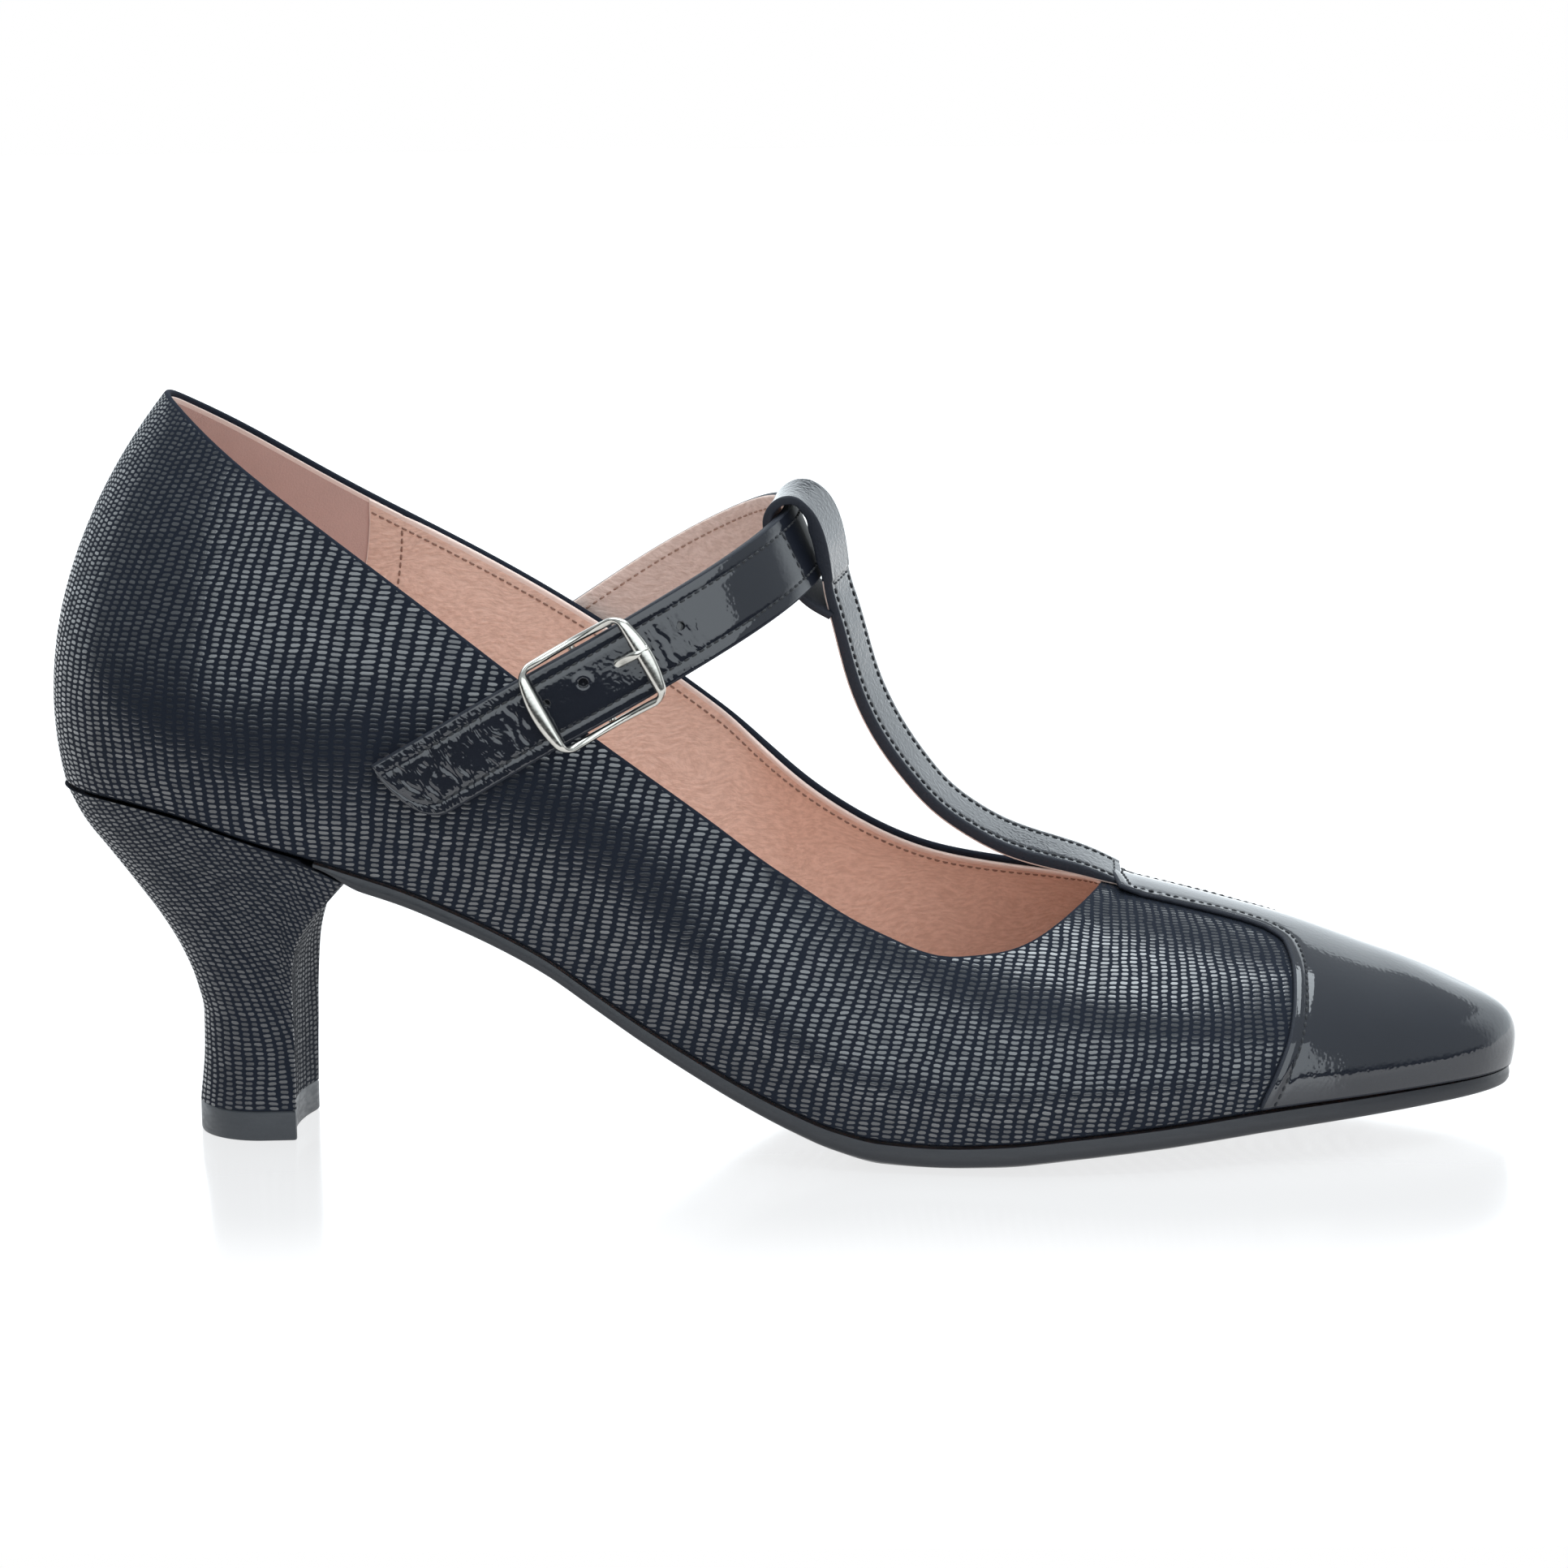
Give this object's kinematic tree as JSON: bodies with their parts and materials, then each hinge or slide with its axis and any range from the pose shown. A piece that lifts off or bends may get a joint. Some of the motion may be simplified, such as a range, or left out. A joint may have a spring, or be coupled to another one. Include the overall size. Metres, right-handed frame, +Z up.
{
  "type": "mary jane pump",
  "caption": "Right-foot T-strap mary jane pump with textile quarters, a patent toe cap, a buckled ankle strap and a covered flared heel.",
  "frame": {"origin": "on the floor, under the middle of the shoe's length and width", "axes": "+X from heel to toe, +Y to the inner side of the foot, +Z up"},
  "size_m": [0.2474, 0.0756, 0.1264],
  "materials": {
    "textile": "matte",
    "patent": "gloss",
    "lining_leather": "matte",
    "sole_rubber": "satin",
    "tip_plastic": "satin",
    "nickel": "polished"
  },
  "bodies": {
    "root": {"upper": "textile", "toe_cap": "patent", "t_strap": "patent", "ankle_strap": "patent", "buckle": "nickel", "buckle_prong": "nickel", "outsole": "sole_rubber", "insole": "lining_leather", "heel": "textile", "heel_tip": "tip_plastic"}
  },
  "joints": []
}
